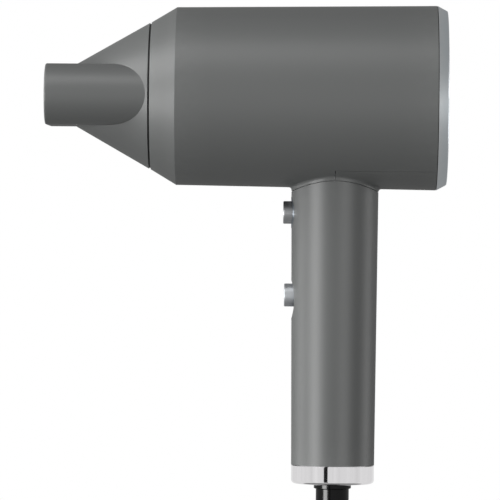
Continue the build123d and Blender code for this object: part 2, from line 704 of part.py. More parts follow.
spigot_out_r, spigot_in_r, spigot_top_z = 15.8, 14.0, -50.0
foot_top_z, foot_z = handle_foot_z - seam_gap, handle_foot_z - foot_height
floor_top_z = foot_z + foot_floor
relief_bore_r = relief_root_r + 0.1
with BuildPart() as foot_collar:
    add(upright([
        (relief_bore_r, foot_z), (foot_r, foot_z), (foot_r, foot_top_z), (spigot_out_r, foot_top_z),
        (spigot_out_r, spigot_top_z), (spigot_in_r, spigot_top_z), (spigot_in_r, floor_top_z),
        (relief_bore_r, floor_top_z),
    ]))
    fillet(edges().filter_by(GeomType.CIRCLE).group_by(Axis.Z)[0].sort_by(SortBy.RADIUS)[-1], foot_round)
write(foot_collar, "foot_collar")

relief_top_z, relief_tip_z = floor_top_z + 2.0, foot_z - relief_length
relief_flange_z, taper_top_z = foot_z - relief_flange, foot_z - relief_straight
grooves, groove_first_z, groove_pitch, groove_height, groove_depth = 6, foot_z - 13.0, 4.0, 1.3, 1.1
with BuildPart() as strain_relief:
    add(upright([
        (0, relief_top_z), (relief_root_r + 1.9, relief_top_z), (relief_root_r + 1.9, floor_top_z),
        (relief_bore_r, floor_top_z), (relief_bore_r, foot_z), (relief_flange_r, foot_z),
        (relief_flange_r, relief_flange_z), (relief_root_r, relief_flange_z - 0.4),
        (relief_root_r, taper_top_z), (relief_tip_r, relief_tip_z), (0, relief_tip_z),
    ]))
    for groove in range(grooves):
        groove_z = groove_first_z - groove * groove_pitch
        share = (taper_top_z - groove_z) / (taper_top_z - relief_tip_z)
        outside_r = relief_root_r + (relief_tip_r - relief_root_r) * share
        add(upright([
            (outside_r - groove_depth, groove_z), (outside_r + 1, groove_z),
            (outside_r + 1, groove_z - groove_height), (outside_r - groove_depth, groove_z - groove_height),
        ]), mode=Mode.SUBTRACT)
write(strain_relief, "strain_relief")

sheath_top_z = -46.0
with BuildPart() as cord_sheath:
    with BuildSketch(Plane.XY.offset(relief_top_z)):
        Circle(cord_r)
    extrude(amount=sheath_top_z - relief_top_z)
write(cord_sheath, "cord_sheath")

wire_r, wire_circle_r, wire_top_z = 0.9, 1.9, 66.0
with BuildPart() as wires:
    with BuildSketch(Plane.XY.offset(sheath_top_z)):
        with PolarLocations(wire_circle_r, 3):
            Circle(wire_r)
    extrude(amount=wire_top_z - sheath_top_z)
write(wires, "wires")

# ---------------------------------------------------------------- mains cord, its hank and its plug

hank_end_y = hank_start_y + hank_turns * hank_pitch
hank_foot_z = hank_top_z - hank_run
lead_points = [
    (0, 0, relief_tip_z), (0, 0, -124), (-4.5, -4, -143), (-12.5, -11.3, -159), (-19.2, -17.4, -174),
    (-21.6, -19.6, -190), (-22, -20, -206),
]
tail_points = [
    (-22, 16, -190), (-22, 20, -206), (-22, 26.5, -221), (-22, 31.8, -235), (-22, 33.5, -246),
    (-22, 33.5, plug_top_z),
]


def cord_tube(points, name):
    """A round cord along straight runs joined by the largest arcs that the runs have room for."""
    corners = [Vector(*point) for point in points]
    runs = [after - before for before, after in zip(corners, corners[1:])]
    radii = []
    for before, after in zip(runs, runs[1:]):
        half_turn = math.radians(before.get_angle(after) / 2)
        radii.append(0.45 * min(before.length, after.length) / math.tan(half_turn))
    print(name, "arc radii", [round(radius) for radius in radii])
    with BuildPart() as tube_part:
        with BuildLine() as path:
            FilletPolyline(*corners, radius=radii)
        with BuildSketch(Plane(origin=corners[0], z_dir=runs[0])):
            Circle(cord_r)
        sweep(path=path.wires()[0])
    length = path.wires()[0].length
    by_volume = tube_part.part.volume / (math.pi * cord_r ** 2)
    print(name, "length", round(length, 1), "and by volume", round(by_volume, 1))
    return tube_part, length


cord_lead, lead_length = cord_tube(lead_points, "cord_lead")
write(cord_lead, "cord_lead")
cord_tail, tail_length = cord_tube(tail_points, "cord_tail")
write(cord_tail, "cord_tail")

turn_length = 2 * hank_run + 2 * math.pi * hank_loop_r
print("cord length", round(lead_length - 16 + tail_length + hank_turns * turn_length))

hank_front = Plane(
    origin=(0, hank_end_y + cord_r, (hank_top_z + hank_foot_z) / 2), x_dir=(1, 0, 0), z_dir=(0, -1, 0)
)
hank_depth = hank_end_y - hank_start_y + 2 * cord_r
with BuildPart() as cord_hank:
    with BuildSketch(hank_front):
        SlotCenterToCenter(hank_run, 2 * (hank_loop_r + cord_r), rotation=90)
        SlotCenterToCenter(hank_run, 2 * (hank_loop_r - cord_r), rotation=90, mode=Mode.SUBTRACT)
    extrude(amount=hank_depth)
write(cord_hank, "cord_hank")

tie_half_x = hank_loop_r + cord_r + 0.3
tie_half_y = hank_depth / 2 + 0.3
tie_middle_z = (hank_top_z + hank_foot_z) / 2
with BuildPart() as cord_tie:
    with BuildSketch(Plane.XY.offset(tie_middle_z - tie_height / 2)):
        with Locations((0, (hank_start_y + hank_end_y) / 2)):
            RectangleRounded(2 * (tie_half_x + tie_wall), 2 * (tie_half_y + tie_wall), 2.0)
            Rectangle(2 * tie_half_x, 2 * tie_half_y, mode=Mode.SUBTRACT)
    extrude(amount=tie_height)
write(cord_tie, "cord_tie")

shoulder_z = plug_top_z - boot_height
face_z = shoulder_z - plug_height
pin_socket = 8.0
pin_places = [(plug_x + side * pin_spacing / 2, plug_y) for side in (-1, 1)]
with BuildPart() as plug_body:
    with BuildSketch(Plane.XY.offset(face_z)):
        with Locations((plug_x, plug_y)):
            Circle(plug_width / 2)
            Rectangle(plug_width, plug_depth, mode=Mode.INTERSECT)
    extrude(amount=plug_height)
    fillet(edges().filter_by(Axis.Z), 2.0)
    fillet(edges().group_by(Axis.Z)[-1], 6.0)
    fillet(edges().group_by(Axis.Z)[0], 1.0)
    add(upright([
        (0, plug_top_z), (cord_r + 0.9, plug_top_z), (cord_r + 3.4, shoulder_z), (cord_r + 3.4, shoulder_z - 4),
        (0, shoulder_z - 4),
    ], plug_x, plug_y))
    with BuildSketch(Plane.XY.offset(face_z)):
        with Locations(*pin_places):
            Circle(pin_root_r)
    extrude(amount=pin_socket, mode=Mode.SUBTRACT)
write(plug_body, "plug_body")

with BuildPart() as plug_pins:
    with BuildSketch(Plane.XY.offset(face_z - pin_length)):
        with Locations(*pin_places):
            Circle(pin_r)
    extrude(amount=pin_length)
    fillet(edges().filter_by(GeomType.CIRCLE).group_by(Axis.Z)[0], 1.4)
    with BuildSketch(Plane.XY.offset(face_z)):
        with Locations(*pin_places):
            Circle(pin_root_r)
    extrude(amount=pin_socket)
write(plug_pins, "plug_pins")
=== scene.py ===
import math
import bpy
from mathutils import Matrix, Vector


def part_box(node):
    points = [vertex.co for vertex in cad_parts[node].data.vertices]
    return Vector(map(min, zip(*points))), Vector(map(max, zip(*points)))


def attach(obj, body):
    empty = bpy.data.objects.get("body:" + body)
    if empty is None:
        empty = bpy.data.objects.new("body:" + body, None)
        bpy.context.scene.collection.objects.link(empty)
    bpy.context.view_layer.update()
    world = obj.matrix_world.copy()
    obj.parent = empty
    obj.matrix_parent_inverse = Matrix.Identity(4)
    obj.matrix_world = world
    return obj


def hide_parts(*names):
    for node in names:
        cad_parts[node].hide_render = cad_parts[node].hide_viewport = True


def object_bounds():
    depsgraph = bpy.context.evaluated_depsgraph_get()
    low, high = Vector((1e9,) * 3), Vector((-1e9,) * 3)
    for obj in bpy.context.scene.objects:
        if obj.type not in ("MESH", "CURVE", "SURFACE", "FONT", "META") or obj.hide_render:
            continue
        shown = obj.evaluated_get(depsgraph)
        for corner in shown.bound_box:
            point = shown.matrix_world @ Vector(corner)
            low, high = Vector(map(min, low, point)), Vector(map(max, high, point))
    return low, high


bl_info = {
    "name": "Hair dryer",
    "version": (1, 0, 0),
    "blender": (4, 5, 0),
    "location": "3D View > Sidebar > Dryer",
    "description": "Builds the finished pieces of a hair dryer around its packed frame",
    "category": "Object",
}

import bpy
from bpy.props import FloatProperty, FloatVectorProperty, PointerProperty
from mathutils import Matrix, Vector

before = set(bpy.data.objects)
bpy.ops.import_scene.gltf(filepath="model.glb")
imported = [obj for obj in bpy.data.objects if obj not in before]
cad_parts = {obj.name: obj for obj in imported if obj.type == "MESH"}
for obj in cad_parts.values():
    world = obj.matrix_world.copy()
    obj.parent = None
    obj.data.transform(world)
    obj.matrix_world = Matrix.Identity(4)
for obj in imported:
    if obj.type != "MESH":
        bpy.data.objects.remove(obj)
CAD_BOX = [list(corner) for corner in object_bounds()]

MM = 0.001
CORNER_STEPS = 4


# ------------------------------------------------------------------ sizes and colours a user may change


def length_value(name, description, default):
    """A length in metres, shown in the sidebar."""
    return FloatProperty(
        name=name, description=description, default=default, min=0.0, subtype="DISTANCE", unit="LENGTH"
    )


def power_value(name, description, default):
    """A light's power in watts, shown in the sidebar."""
    return FloatProperty(name=name, description=description, default=default, min=0.0, unit="POWER")


def colour_value(name, description, default):
    """A linear colour, shown in the sidebar."""
    return FloatVectorProperty(
        name=name, description=description, default=default, size=3, min=0.0, max=1.0, subtype="COLOR"
    )


class DryerSizes(bpy.types.PropertyGroup):
    """Sizes of the finished pieces that the frame's boxes don't give"""

    duct_width: length_value("Duct width", "Width of the nozzle's flat duct outside", 61.6 * MM)
    duct_height: length_value("Duct height", "Height of the nozzle's flat duct outside", 26.1 * MM)
    nozzle_wall: length_value("Nozzle wall", "Wall of the nozzle", 1.7 * MM)
    nozzle_base_radius: length_value("Nozzle base", "Radius of the nozzle's cone at its base", 31.4 * MM)
    cone_tip_distance: length_value(
        "Cone length", "How far in front of its base the cone is as narrow as the duct is high", 32.2 * MM
    )
    seat_radius: length_value("Seat radius", "Radius of the seat that the black ring sits in", 27.0 * MM)
    edge_round: length_value("Edge rounding", "Rounding of the moulded edges", 0.3 * MM)
    cord_diameter: length_value("Cord diameter", "Diameter of the mains cord", 7.0 * MM)


class DryerColours(bpy.types.PropertyGroup):
    """Colours of the dryer's finishes"""

    shell: colour_value("Shell", "Satin grey paint of the casing", (0.150, 0.155, 0.153))
    ring: colour_value("Rear ring", "Satin silver paint of the rear ring", (0.80, 0.86, 0.89))
    black: colour_value("Black plastic", "Black moulded parts", (0.007, 0.007, 0.0075))
    chrome: colour_value("Chrome", "Plated trim", (0.80, 0.79, 0.80))
    cord: colour_value("Cord", "Rubber sheath of the cord", (0.010, 0.010, 0.011))


class DryerStage(bpy.types.PropertyGroup):
    """Light and camera"""

    camera_distance: length_value("Camera distance", "From the camera to the dryer's middle plane", 1.911)
    focal_length: FloatProperty(
        name="Focal length", description="Lens in millimetres", default=320.0, min=1.0
    )
    key_power: power_value("Key light", "Power of the main softbox, left and low", 19.6)
    high_power: power_value("High light", "Power of the softbox high on the left", 11.6)
    top_power: power_value("Top light", "Power of the overhead softbox", 6.3)
    left_power: power_value("Left light", "Power of the softbox at the nozzle's end", 5.5)
    fill_power: power_value("Fill light", "Power of the weak softbox right of the camera", 6.9)
    right_power: power_value("Right light", "Power of the softbox at the rear cover's end", 5.2)
    back_power: power_value("Back light", "Power of the softbox behind", 16.0)
    floor_power: power_value("Floor light", "Power of the overhead panel that lights the floor", 260.0)
    ambient: FloatProperty(
        name="Ambient", description="Strength of the white surroundings as light", default=0.0, min=0.0
    )
    surroundings: FloatProperty(
        name="Surroundings", description="Strength of the white surroundings in reflections", default=0.28,
        min=0.0,
    )


def sizes():
    return bpy.context.scene.dryer_sizes


def colours():
    return bpy.context.scene.dryer_colours


# ------------------------------------------------------------------ mesh helpers


def box_of(node):
    """Lowest and highest corners of a CAD node, as vectors."""
    low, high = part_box(node)
    return Vector(low), Vector(high)


AXIS_Z = sum(corner.z for corner in box_of("rear_ring")) / 2


def soften(corners):
    """A closed profile of (along, radius, rounding) corners, with each corner turned into a small arc."""
    points = []
    for index, (along, radius, rounding) in enumerate(corners):
        here = Vector((along, radius))
        if rounding == 0:
            points.append(here)
            continue
        before = Vector(corners[index - 1][:2]) - here
        after = Vector(corners[(index + 1) % len(corners)][:2]) - here
        reach = min(rounding / math.tan(before.angle(after) / 2), 0.45 * before.length, 0.45 * after.length)
        start, end = here + before.normalized() * reach, here + after.normalized() * reach
        for step in range(CORNER_STEPS + 1):
            share = step / CORNER_STEPS
            points.append(start.lerp(here, share).lerp(here.lerp(end, share), share))
    return points


def mesh_object(name, vertices, faces, sharp_degrees=40.0):
    """A smooth-shaded object whose broad faces keep their own normals beside narrow roundings."""
    mesh = bpy.data.meshes.new(name)
    mesh.from_pydata([tuple(vertex) for vertex in vertices], [], faces)
    mesh.validate()
    mesh.update()
    for polygon in mesh.polygons:
        polygon.use_smooth = True
    mesh.set_sharp_from_angle(angle=math.radians(sharp_degrees))
    piece = bpy.data.objects.new(name, mesh)
    bpy.context.scene.collection.objects.link(piece)
    weighted = piece.modifiers.new("broad faces first", "WEIGHTED_NORMAL")
    weighted.keep_sharp = True
    weighted.weight = 80
    return piece


def skin(name, rings, closed, sharp_degrees=40.0):
    """Joins rings of the same number of points into a tube of quads; closed joins the last to the first."""
    row_points = len(rings[0])
    vertices = [point for ring in rings for point in ring]
    faces = []
    pairs = len(rings) if closed else len(rings) - 1
    for row in range(pairs):
        low, high = row * row_points, ((row + 1) % len(rings)) * row_points
        for column in range(row_points):
            after = (column + 1) % row_points
            faces.append((low + column, low + after, high + after, high + column))
    return mesh_object(name, vertices, faces, sharp_degrees)


def turned_ring(name, corners, segments=128):
    """A hollow piece turned round the barrel's axis from a closed profile."""
    turn = 2 * math.pi / segments
    rings = []
    for point in soften(corners):
        rings.append([
            Vector((point.x, point.y * math.cos(turn * step), AXIS_Z + point.y * math.sin(turn * step)))
            for step in range(segments)
        ])
    return orient(skin(name, rings, True))


def orient(piece):
    """Turns the faces outwards, by the sign of the volume that they enclose."""
    mesh = piece.data
    volume = 0.0
    for polygon in mesh.polygons:
        corner = [mesh.vertices[index].co for index in polygon.vertices]
        for first, second in zip(corner[1:], corner[2:]):
            volume += corner[0].dot(first.cross(second))
    if volume < 0:
        mesh.flip_normals()
    return piece


def finish_piece(piece, body, material, slot, *nodes):
    """Gives a piece its material and its body, and hides the CAD nodes that it stands for; slot is not used.
    """
    piece.data.materials.clear()
    piece.data.materials.append(material)
    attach(piece, body)
    if nodes:
        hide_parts(*nodes)
    return piece


def paint_nodes(material, *nodes):
    """Gives CAD nodes that stay as they are a finished material."""
    for node in nodes:
        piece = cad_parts[node]
        piece.data.materials.clear()
        piece.data.materials.append(material)


# ------------------------------------------------------------------ shared effects, as node groups

GRAIN_SHARE = 0.45


def group_socket(group, name, direction, kind, default=None):
    """Adds one named socket to a node group."""
    socket = group.interface.new_socket(name=name, in_out=direction, socket_type=kind)
    if default is not None:
        socket.default_value = default
    return socket


def link(tree, source, target):
    tree.links.new(source, target)


def surface_grain_group():
    """A painted or moulded surface's fine grain: a height, a slow colour drift and a varying roughness."""
    group = bpy.data.node_groups.get("surface grain")
    if group:
        return group
    group = bpy.data.node_groups.new("surface grain", "ShaderNodeTree")
    group_socket(group, "Grain Scale", "INPUT", "NodeSocketFloat", 4000.0)
    group_socket(group, "Drift Scale", "INPUT", "NodeSocketFloat", 25.0)
    group_socket(group, "Dark Colour", "INPUT", "NodeSocketColor", (0.1, 0.1, 0.1, 1))
    group_socket(group, "Light Colour", "INPUT", "NodeSocketColor", (0.2, 0.2, 0.2, 1))
    group_socket(group, "Low Roughness", "INPUT", "NodeSocketFloat", 0.4)
    group_socket(group, "High Roughness", "INPUT", "NodeSocketFloat", 0.5)
    group_socket(group, "Colour", "OUTPUT", "NodeSocketColor")
    group_socket(group, "Roughness", "OUTPUT", "NodeSocketFloat")
    group_socket(group, "Height", "OUTPUT", "NodeSocketFloat")
    nodes = group.nodes
    inputs, outputs = nodes.new("NodeGroupInput"), nodes.new("NodeGroupOutput")
    place = nodes.new("ShaderNodeTexCoord")
    grain = nodes.new("ShaderNodeTexNoise")
    grain.inputs["Detail"].default_value = 3.0
    link(group, place.outputs["Object"], grain.inputs["Vector"])
    link(group, inputs.outputs["Grain Scale"], grain.inputs["Scale"])
    drift = nodes.new("ShaderNodeTexNoise")
    drift.inputs["Detail"].default_value = 2.0
    link(group, place.outputs["Object"], drift.inputs["Vector"])
    link(group, inputs.outputs["Drift Scale"], drift.inputs["Scale"])
    blend = nodes.new("ShaderNodeMath")
    blend.operation = "MULTIPLY_ADD"
    blend.inputs[1].default_value = GRAIN_SHARE
    link(group, grain.outputs["Fac"], blend.inputs[0])
    slow_part = nodes.new("ShaderNodeMath")
    slow_part.operation = "MULTIPLY"
    slow_part.inputs[1].default_value = 1.0 - GRAIN_SHARE
    link(group, drift.outputs["Fac"], slow_part.inputs[0])
    link(group, slow_part.outputs[0], blend.inputs[2])
    colour = nodes.new("ShaderNodeMix")
    colour.data_type = "RGBA"
    link(group, blend.outputs[0], colour.inputs["Factor"])
    link(group, inputs.outputs["Dark Colour"], colour.inputs["A"])
    link(group, inputs.outputs["Light Colour"], colour.inputs["B"])
    link(group, colour.outputs["Result"], outputs.inputs["Colour"])
    rough = nodes.new("ShaderNodeMapRange")
    link(group, blend.outputs[0], rough.inputs["Value"])
    link(group, inputs.outputs["Low Roughness"], rough.inputs["To Min"])
    link(group, inputs.outputs["High Roughness"], rough.inputs["To Max"])
    link(group, rough.outputs["Result"], outputs.inputs["Roughness"])
    link(group, grain.outputs["Fac"], outputs.inputs["Height"])
    return group


def edge_wear_group():
    """Mixes a worn colour in along convex edges, broken up by noise."""
    group = bpy.data.node_groups.get("edge wear")
    if group:
        return group
    group = bpy.data.node_groups.new("edge wear", "ShaderNodeTree")
    group_socket(group, "Edge Start", "INPUT", "NodeSocketFloat", 0.52)
    group_socket(group, "Edge End", "INPUT", "NodeSocketFloat", 0.62)
    group_socket(group, "Colour", "INPUT", "NodeSocketColor", (0.1, 0.1, 0.1, 1))
    group_socket(group, "Worn Colour", "INPUT", "NodeSocketColor", (0.2, 0.2, 0.2, 1))
    group_socket(group, "Worn", "OUTPUT", "NodeSocketColor")
    nodes = group.nodes
    inputs, outputs = nodes.new("NodeGroupInput"), nodes.new("NodeGroupOutput")
    shape = nodes.new("ShaderNodeNewGeometry")
    edge = nodes.new("ShaderNodeMapRange")
    link(group, shape.outputs["Pointiness"], edge.inputs["Value"])
    link(group, inputs.outputs["Edge Start"], edge.inputs["From Min"])
    link(group, inputs.outputs["Edge End"], edge.inputs["From Max"])
    place = nodes.new("ShaderNodeTexCoord")
    noise = nodes.new("ShaderNodeTexNoise")
    noise.inputs["Scale"].default_value = 300.0
    link(group, place.outputs["Object"], noise.inputs["Vector"])
    mask = nodes.new("ShaderNodeMath")
    mask.operation = "MULTIPLY"
    link(group, edge.outputs["Result"], mask.inputs[0])
    link(group, noise.outputs["Fac"], mask.inputs[1])
    colour = nodes.new("ShaderNodeMix")
    colour.data_type = "RGBA"
    link(group, mask.outputs[0], colour.inputs["Factor"])
    link(group, inputs.outputs["Colour"], colour.inputs["A"])
    link(group, inputs.outputs["Worn Colour"], colour.inputs["B"])
    link(group, colour.outputs["Result"], outputs.inputs["Worn"])
    return group


# ------------------------------------------------------------------ materials


def shade(colour, factor):
    """The colour made lighter or darker, with its alpha."""
    return (*[min(1.0, channel * factor) for channel in colour], 1.0)


def grained(name, colour, roughness, metallic=0.0, grain=4000.0, bump=0.02, spread=0.05, rough_spread=0.05,
            edge=0.0, **sockets):
    """A Principled material with the shared grain and, where edge is over 0, lighter worn edges."""
    material = bpy.data.materials.get(name)
    if material:
        return material
    material = bpy.data.materials.new(name)
    material.use_nodes = True
    tree = material.node_tree
    shader = tree.nodes["Principled BSDF"]
    shader.inputs["Metallic"].default_value = metallic
    for socket, value in sockets.items():
        shader.inputs[socket.replace("_", " ")].default_value = value
    surface = tree.nodes.new("ShaderNodeGroup")
    surface.node_tree = surface_grain_group()
    surface.inputs["Grain Scale"].default_value = grain
    surface.inputs["Dark Colour"].default_value = shade(colour, 1.0 - spread)
    surface.inputs["Light Colour"].default_value = shade(colour, 1.0 + spread)
    surface.inputs["Low Roughness"].default_value = max(0.02, roughness - rough_spread)
    surface.inputs["High Roughness"].default_value = roughness + rough_spread
    link(tree, surface.outputs["Roughness"], shader.inputs["Roughness"])
    if edge > 0:
        wear = tree.nodes.new("ShaderNodeGroup")
        wear.node_tree = edge_wear_group()
        wear.inputs["Worn Colour"].default_value = shade(colour, 1.0 + edge)
        link(tree, surface.outputs["Colour"], wear.inputs["Colour"])
        link(tree, wear.outputs["Worn"], shader.inputs["Base Color"])
    else:
        link(tree, surface.outputs["Colour"], shader.inputs["Base Color"])
    relief = tree.nodes.new("ShaderNodeBump")
    relief.inputs["Strength"].default_value = 1.0
    relief.inputs["Distance"].default_value = bump * MM
    link(tree, surface.outputs["Height"], relief.inputs["Height"])
    link(tree, relief.outputs["Normal"], shader.inputs["Normal"])
    return material


def shell_paint():
    return grained("satin grey paint", colours().shell, 0.44, grain=5200.0, bump=0.006, spread=0.02,
                   rough_spread=0.03, edge=0.25, Coat_Weight=0.12, Coat_Roughness=0.35)


def ring_paint():
    return grained("satin silver paint", colours().ring, 0.34, metallic=1.0, grain=6000.0, bump=0.004,
                   spread=0.04, rough_spread=0.04, edge=0.3)


def black_plastic():
    return grained("black moulded plastic", colours().black, 0.45, grain=2600.0, bump=0.02, spread=0.15,
                   edge=1.2)


def chrome():
    return grained("chrome plating", colours().chrome, 0.07, metallic=1.0, grain=900.0, bump=0.0006,
                   spread=0.02, rough_spread=0.02)


def button_metal():
    return grained("satin button metal", (0.52, 0.53, 0.54), 0.38, metallic=1.0, grain=3500.0, bump=0.003,
                   spread=0.05, rough_spread=0.05)


# The slide knob's metal is the button metal made lighter: a painted highlight that stands in for the
# brighter band of light on the knob.
def knob_metal_with_painted_highlight():
    return grained("satin knob metal", (0.60, 0.62, 0.64), 0.50, metallic=1.0, grain=3500.0, bump=0.003,
                   spread=0.05, rough_spread=0.05)


def bezel_metal():
    return grained("satin bezel metal", (0.34, 0.38, 0.42), 0.32, metallic=1.0, grain=3000.0, bump=0.002,
                   spread=0.05, rough_spread=0.05)


def cord_rubber():
    return grained("cord sheath", colours().cord, 0.42, grain=1800.0, bump=0.015, spread=0.2,
                   rough_spread=0.08)


def relief_rubber():
    return grained("strain relief rubber", (0.005, 0.005, 0.0055), 0.17, grain=2200.0, bump=0.002,
                   spread=0.15, rough_spread=0.03, edge=0.8)


def plug_plastic():
    return grained("plug plastic", (0.011, 0.011, 0.012), 0.5, grain=1600.0, bump=0.04, spread=0.2,
                   rough_spread=0.06, edge=1.0)


def steel():
    return grained("machined steel", (0.50, 0.50, 0.51), 0.28, metallic=1.0, grain=2500.0, bump=0.003,
                   rough_spread=0.08)


def mesh_steel():
    return grained("woven steel", (0.16, 0.16, 0.165), 0.42, metallic=1.0, grain=6000.0, bump=0.01,
                   spread=0.2, rough_spread=0.08)


def brass():
    return grained("machined brass", (0.62, 0.43, 0.18), 0.3, metallic=1.0, grain=2500.0, bump=0.003,
                   rough_spread=0.08)


def copper_wire():
    return grained("enamelled copper", (0.46, 0.13, 0.05), 0.3, metallic=0.7, grain=1500.0, bump=0.03,
                   spread=0.2)


def mica():
    return grained("mica sheet", (0.40, 0.33, 0.23), 0.5, grain=900.0, bump=0.03, spread=0.25,
                   rough_spread=0.15)


def heat_plastic():
    return grained("heat-resistant plastic", (0.36, 0.33, 0.27), 0.5, grain=2600.0, bump=0.02, spread=0.06)


def board_lacquer():
    return grained("circuit board lacquer", (0.012, 0.09, 0.035), 0.25, grain=1400.0, bump=0.01, spread=0.3)


def wire_cover():
    return grained("wire insulation", (0.25, 0.03, 0.02), 0.35, grain=1500.0, bump=0.01, spread=0.1)


def strap_rubber():
    return grained("tie strap", (0.016, 0.016, 0.018), 0.6, grain=1300.0, bump=0.05, spread=0.3, edge=0.6)


# ------------------------------------------------------------------ nozzle

NOZZLE_ROWS, LIP_STEPS = 8, 5
LIP_OUTSIDE, LIP_INSIDE = 0.8 * MM, 0.35 * MM
SEAT_ROOM = 0.6 * MM
RING_BORE, RING_ROUND, RING_PLAY = 25.2 * MM, 0.2 * MM, 0.05 * MM


def stadium(width, height, straight=32, arc=64):
    """Points round a slot-shaped outline, as (y, z), starting at the top left of its right-hand end."""
    radius = height / 2
    reach = width / 2 - radius
    points = []
    for side in (1, -1):
        for step in range(arc):
            angle = math.pi / 2 - math.pi * step / arc
            points.append((side * (reach + radius * math.cos(angle)), side * radius * math.sin(angle)))
        for step in range(straight):
            points.append((side * (reach - 2 * reach * step / straight), -side * radius))
    return points


def duct_ring(inset, x):
    """One ring of the duct's outline, inset all round, at x."""
    size = sizes()
    outline = stadium(size.duct_width - 2 * inset, size.duct_height - 2 * inset)
    return [Vector((x, y, AXIS_Z + z)) for y, z in outline]


def on_circle(y, z, x, radius):
    """The point at x that stands radius away from the barrel's axis, in the direction of (y, z)."""
    scale = radius / math.hypot(y, z)
    return Vector((x, y * scale, AXIS_Z + z * scale))


def round_ring(outline, x, radius):
    """A circle about the barrel's axis whose points stand at the same angles as an outline's."""
    return [on_circle(y, z, x, radius) for y, z in outline]


def cone_slope():
    """How fast the nozzle's cone widens, as radius per length."""
    size = sizes()
    return (size.nozzle_base_radius - size.duct_height / 2) / size.cone_tip_distance


def meeting_places(outline, tip_x, last_x):
    """Where the duct's surface runs into the cone that starts at tip_x, for each point of its outline."""
    tip_radius, slope = sizes().duct_height / 2, cone_slope()
    return [min(tip_x + (math.hypot(y, z) - tip_radius) / slope, last_x) for y, z in outline]


def duct_rows(outline, starts, ends):
    """Rings along the duct from one place to another for each point of its outline, without the first."""
    rings = []
    for row in range(1, NOZZLE_ROWS + 1):
        share = row / NOZZLE_ROWS
        rings.append([
            Vector((start + (end - start) * share, y, AXIS_Z + z))
            for (y, z), start, end in zip(outline, starts, ends)
        ])
    return rings


def cone_rows(outline, tip_x, starts, ends, first_row):
    """Rings on the cone that starts at tip_x, from one place to another for each point of an outline."""
    tip_radius, slope = sizes().duct_height / 2, cone_slope()
    rings = []
    for row in range(first_row, NOZZLE_ROWS + 1):
        share = row / NOZZLE_ROWS
        ring = []
        for (y, z), start, end in zip(outline, starts, ends):
            x = start + (end - start) * share
            radius = max(tip_radius + slope * (x - tip_x), math.hypot(y, z))
            ring.append(on_circle(y, z, x, radius))
        rings.append(ring)
    return rings


def nozzle_outside(outlet_x, base_x):
    """The rings from the outlet's rounded lip, along the duct and the cone, to the base's outer edge."""
    size = sizes()
    rings = []
    for step in range(LIP_STEPS + 1):
        angle = math.pi / 2 * step / LIP_STEPS
        back = LIP_OUTSIDE * (1 - math.cos(angle))
        rings.append(duct_ring(LIP_OUTSIDE * (1 - math.sin(angle)), outlet_x + back))
    outline = stadium(size.duct_width, size.duct_height)
    tip_x, rounding = base_x - size.cone_tip_distance, size.edge_round
    meets = meeting_places(outline, tip_x, base_x)
    rings += duct_rows(outline, [outlet_x + LIP_OUTSIDE] * len(outline), meets)
    rings += cone_rows(outline, tip_x, meets, [base_x - rounding] * len(outline), 1)
    rings.append(round_ring(outline, base_x - rounding * 0.3, size.nozzle_base_radius - rounding * 0.35))
    rings.append(round_ring(outline, base_x, size.nozzle_base_radius - rounding))
    return rings


def nozzle_inside(outlet_x, base_x):
    """The rings from the base's inner edge, through the ring's seat, the cone and the duct, to the lip."""
    size = sizes()
    outline = stadium(size.duct_width - 2 * size.nozzle_wall, size.duct_height - 2 * size.nozzle_wall)
    seat_end_x = box_of("nozzle_ring")[0].x - SEAT_ROOM
    rings = [
        round_ring(outline, base_x, size.seat_radius + size.edge_round),
        round_ring(outline, base_x - size.edge_round, size.seat_radius),
        round_ring(outline, seat_end_x, size.seat_radius),
    ]
    wall_along = size.nozzle_wall / math.sin(math.atan(cone_slope()))
    tip_x = base_x - size.cone_tip_distance + wall_along
    meets = meeting_places(outline, tip_x, seat_end_x)
    rings += cone_rows(outline, tip_x, [seat_end_x] * len(outline), meets, 0)
    end_x = outlet_x + LIP_INSIDE
    rings += duct_rows(outline, meets, [end_x] * len(outline))
    for step in range(1, LIP_STEPS):
        angle = math.pi / 2 * step / LIP_STEPS
        inset = size.nozzle_wall - LIP_INSIDE * (1 - math.cos(angle))
        rings.append(duct_ring(inset, end_x - LIP_INSIDE * math.sin(angle)))
    return rings


class DRYER_OT_nozzle(bpy.types.Operator):
    """Builds the flat concentrator nozzle and the black ring that it turns on"""

    bl_idname = "dryer.nozzle"
    bl_label = "Nozzle"

    def execute(self, context):
        outlet_x, base_x = (corner.x for corner in box_of("nozzle_shell"))
        rings = nozzle_outside(outlet_x, base_x) + nozzle_inside(outlet_x, base_x)
        shell = orient(skin("nozzle", rings, True, sharp_degrees=24.0))
        finish_piece(shell, "nozzle", shell_paint(), "grey_shell", "nozzle_shell")
        low, high = box_of("nozzle_ring")
        flange, sleeve = (high.z - low.z) / 2, sizes().seat_radius - RING_PLAY
        front_x, rear_x = base_x + RING_PLAY, box_of("front_ring")[0].x - RING_PLAY
        ring = turned_ring("nozzle_seat_ring", [
            (low.x, RING_BORE, RING_ROUND), (low.x, sleeve, RING_ROUND), (front_x, sleeve, 0),
            (front_x, flange, RING_ROUND), (rear_x, flange, RING_ROUND), (rear_x, sleeve, 0),
            (high.x, sleeve, RING_ROUND), (high.x, RING_BORE, RING_ROUND),
        ])
        finish_piece(ring, "nozzle_ring", black_plastic(), "black_plastic", "nozzle_ring")
        return {"FINISHED"}


# ------------------------------------------------------------------ barrel and rear cover


class DRYER_OT_barrel(bpy.types.Operator):
    """Paints the front cone ring, the barrel, its underside panel and the outlet grille"""

    bl_idname = "dryer.barrel"
    bl_label = "Barrel"

    def execute(self, context):
        paint_nodes(shell_paint(), "front_ring", "barrel_shell", "underside_panel")
        paint_nodes(black_plastic(), "outlet_grille")
        return {"FINISHED"}


